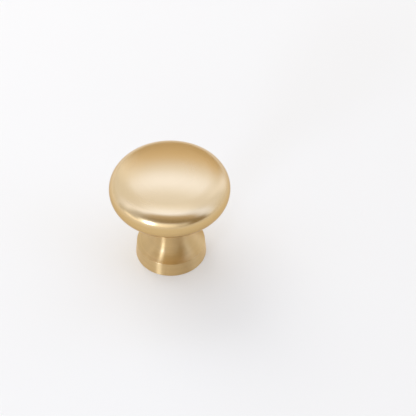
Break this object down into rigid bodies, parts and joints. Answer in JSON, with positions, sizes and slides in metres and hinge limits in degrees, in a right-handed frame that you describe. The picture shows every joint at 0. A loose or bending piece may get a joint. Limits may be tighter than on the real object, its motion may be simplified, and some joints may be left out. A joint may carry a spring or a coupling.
{
  "type": "cabinet knob",
  "caption": "Round mushroom cabinet knob in satin brass, with a softly domed head, a plain neck and a banded foot, tapped from below for a machine screw.",
  "frame": {"origin": "centre of the seat, the flat face of the foot that meets the drawer front or door", "axes": "+Z along the knob's axis, from the seat to the crown of the head; the knob is round, so X and Y are free"},
  "size_m": [0.035, 0.035, 0.0336],
  "materials": {
    "satin_brass": "satin, finely brushed round the axis"
  },
  "bodies": {
    "root": {"knob": "satin_brass"}
  },
  "joints": []
}
